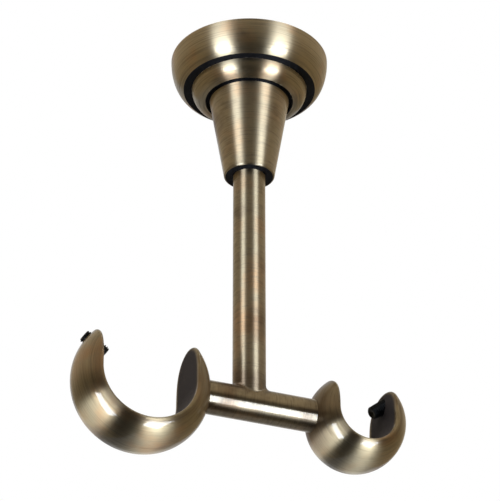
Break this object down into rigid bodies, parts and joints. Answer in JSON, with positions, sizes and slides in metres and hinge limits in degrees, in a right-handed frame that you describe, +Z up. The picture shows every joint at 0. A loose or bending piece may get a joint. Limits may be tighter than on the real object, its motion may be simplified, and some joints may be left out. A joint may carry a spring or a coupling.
{
  "type": "double curtain pole bracket",
  "caption": "Ceiling bracket with a stepped rose, conical collar and round stem; its cross arm carries a large and a small open cup for curtain poles, each with a clamp screw.",
  "frame": {"origin": "centre of the ceiling face, on the axis of the stem", "axes": "+Z up into the ceiling, X along the cross arm with the small cup at +X, poles along Y"},
  "size_m": [0.101, 0.0482, 0.1382],
  "materials": {
    "antique_brass": "brushed antique brass, lacquered",
    "zinc_steel": "zinc plated",
    "black_steel": "black oxide"
  },
  "bodies": {
    "bracket": {"mounting_plate": "zinc_steel", "centre_screw": "zinc_steel", "ceiling_rose": "antique_brass", "cone_collar": "antique_brass", "stem_and_arm": "antique_brass", "large_cup": "antique_brass", "small_cup": "antique_brass"},
    "large_screw": {"large_cup_screw": "black_steel"},
    "small_screw": {"small_cup_screw": "black_steel"}
  },
  "joints": [
    {"name": "large_screw_travel", "type": "slide", "parent": "bracket", "child": "large_screw", "axis": [0.8128, 0, -0.5826], "range_m": [-0.0045, 0.0024]},
    {"name": "small_screw_travel", "type": "slide", "parent": "bracket", "child": "small_screw", "axis": [-0.7835, 0, -0.6213], "range_m": [-0.0045, 0.002]}
  ]
}
